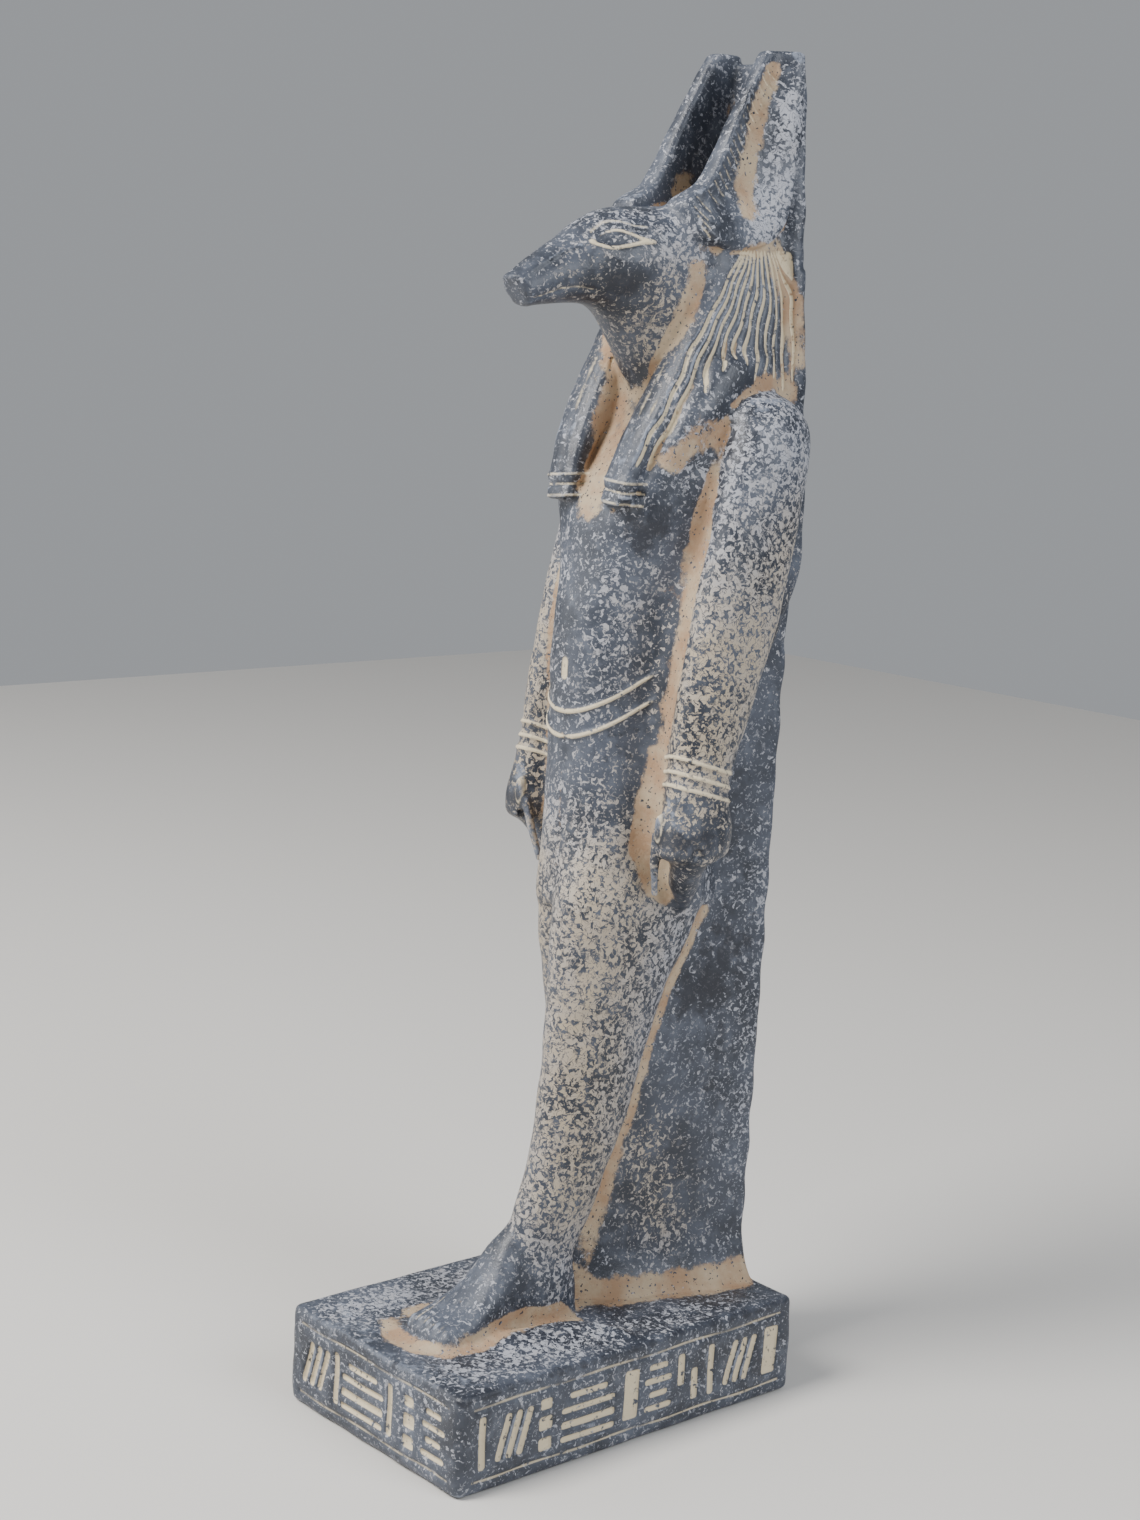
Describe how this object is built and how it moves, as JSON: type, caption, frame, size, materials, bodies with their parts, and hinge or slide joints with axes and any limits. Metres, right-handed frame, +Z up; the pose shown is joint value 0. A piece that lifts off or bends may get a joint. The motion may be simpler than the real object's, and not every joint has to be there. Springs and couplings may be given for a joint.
{
  "type": "seth statue",
  "caption": "Striding figure with a long-snouted, tall-eared animal head, standing against a back pillar on a rectangular plinth with sunk marks.",
  "frame": {"origin": "middle of the plinth's underside, on the surface it stands on", "axes": "+Z up, the figure faces -Y, its left side is +X"},
  "size_m": [0.053, 0.0816, 0.249],
  "materials": {
    "stone": "dark slate-blue stone, smoothed, worn paler on the high places, mottled with tan speckle, with tan dust in the hollows"
  },
  "bodies": {
    "root": {"seth_statue": "stone"}
  },
  "joints": []
}
